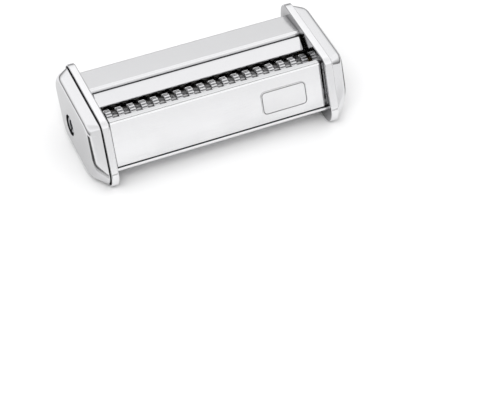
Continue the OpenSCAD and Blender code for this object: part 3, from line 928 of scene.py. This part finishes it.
def stage_plane(name, corners, z, color):
    """A flat stage object from its corners in metres; returns it with its material's nodes."""
    mesh = bpy.data.meshes.new(name)
    mesh.from_pydata([(x, y, z) for x, y in corners], [], [tuple(range(len(corners)))])
    plane = bpy.data.objects.new(name, mesh)
    bpy.context.scene.collection.objects.link(plane)
    material, nodes, links, shader = new_material(name, color, metallic=0.0)
    shader.inputs["Roughness"].default_value = 0.7
    shader.inputs["Specular IOR Level"].default_value = 0.1
    mesh.materials.append(material)
    return plane, nodes, links, shader


stage_plane("floor", [(x * FLOOR_HALF, y * FLOOR_HALF) for x, y in SQUARE], FLOOR_Z,
            (0.93, 0.93, 0.93))


def dark_flag(name, centre, size, darkest, turn=0.0):
    """A studio flag lying on the floor, seen only in reflections, with a soft edge.

    size is half its width and half its depth in metres, and turn is in degrees.
    """
    a = math.radians(turn)
    corners = [(centre[0] + sx * size[0] * math.cos(a) - sy * size[1] * math.sin(a),
                centre[1] + sx * size[0] * math.sin(a) + sy * size[1] * math.cos(a))
               for sx, sy in SQUARE]
    plane, nodes, links, shader = stage_plane(name, corners, FLAG_Z, (0.02, 0.02, 0.02))
    # opaque in the middle, fading to nothing at the edge
    where = nodes.new("ShaderNodeTexCoord")
    place = nodes.new("ShaderNodeMapping")
    place.inputs["Location"].default_value = (-1.0, -1.0, 0.0)
    place.inputs["Scale"].default_value = (2.0, 2.0, 0.0)
    links.new(where.outputs["Generated"], place.inputs["Vector"])
    fall = nodes.new("ShaderNodeTexGradient")
    fall.gradient_type = "SPHERICAL"
    links.new(place.outputs["Vector"], fall.inputs["Vector"])
    edge = nodes.new("ShaderNodeMapRange")
    edge.inputs["From Max"].default_value = 0.35
    edge.inputs["To Max"].default_value = darkest
    links.new(fall.outputs["Fac"], edge.inputs["Value"])
    links.new(edge.outputs["Result"], shader.inputs["Alpha"])
    plane.visible_camera = plane.visible_diffuse = plane.visible_shadow = False
    plane.visible_transmission = plane.visible_volume_scatter = False


dark_flag("flag_left", (-0.205, -0.135), (0.085, 0.13), 0.98, turn=-33.0)
dark_flag("flag_front", (0.04, -0.21), (0.24, 0.10), 0.45)
dark_flag("flag_back", (-0.11, 0.02), (0.035, 0.09), 0.22)
dark_flag("flag_right", (0.155, 0.02), (0.055, 0.08), 0.88)

world = bpy.data.worlds.new("studio")
bpy.context.scene.world = world
world.use_nodes = True
world_nodes, world_links = world.node_tree.nodes, world.node_tree.links
background = world_nodes["Background"]
sky_at = world_nodes.new("ShaderNodeTexCoord")
split = world_nodes.new("ShaderNodeSeparateXYZ")
world_links.new(sky_at.outputs["Generated"], split.inputs["Vector"])
# brightness by height above the horizon: a dim band low down, bright overhead
height = world_nodes.new("ShaderNodeValToRGB")
world_links.new(split.outputs["Z"], height.inputs["Fac"])
# (height, brightness)
SKY = [(0.0, 0.20), (0.20, 0.28), (0.42, 0.72), (0.54, 0.97), (0.68, 1.28), (1.0, 1.02)]
while len(height.color_ramp.elements) < len(SKY):
    height.color_ramp.elements.new(0.5)
for stop, (at, level) in zip(height.color_ramp.elements, SKY):
    stop.position = at
    stop.color = (level, level, level * 1.004, 1.0)
# the front side is lit down to the horizon
front = world_nodes.new("ShaderNodeMapRange")
front.interpolation_type = "SMOOTHSTEP"
front.inputs["From Min"].default_value = -0.6
front.inputs["From Max"].default_value = -0.9
world_links.new(split.outputs["Y"], front.inputs["Value"])
blend = world_nodes.new("ShaderNodeMix")
blend.data_type = "RGBA"
world_links.new(front.outputs["Result"], blend.inputs[MIX_FACTOR])
world_links.new(height.outputs["Color"], blend.inputs[MIX_A])
blend.inputs[MIX_B].default_value = (0.95, 0.95, 0.95, 1.0)
world_links.new(blend.outputs[MIX_RESULT], background.inputs["Color"])
background.inputs["Strength"].default_value = 1.0

# one soft light, above and in front on the left, aimed at the head
KEY_AT = Vector((-0.5, -0.7, 1.3))
key_data = bpy.data.lights.new("key", "AREA")
key_data.shape = "RECTANGLE"
key_data.size, key_data.size_y = 0.9, 0.6
key_data.energy = 6.5
key = bpy.data.objects.new("key", key_data)
key.location = KEY_AT
key.rotation_euler = (-KEY_AT).to_track_quat("-Z", "Y").to_euler()
key.visible_glossy = False
bpy.context.scene.collection.objects.link(key)

# the camera, solved from the photo's own lines
CAMERA_AT = (-0.3549, -0.8970, 0.8852)
camera_data = bpy.data.cameras.new("camera")
camera_data.lens = 136.8
camera_data.sensor_width = 36.0
camera_data.clip_start = 0.05
camera = bpy.data.objects.new("camera", camera_data)
right = Vector((0.9171, -0.3987, 0.0)).normalized()
back = Vector((-0.2820, -0.6485, 0.7071)).normalized()
up = back.cross(right)
turned_to = Matrix((right, up, back)).transposed().to_4x4()
camera.matrix_world = Matrix.Translation(CAMERA_AT) @ turned_to
bpy.context.scene.collection.objects.link(camera)
bpy.context.scene.camera = camera
bpy.context.scene.view_settings.view_transform = "Standard"
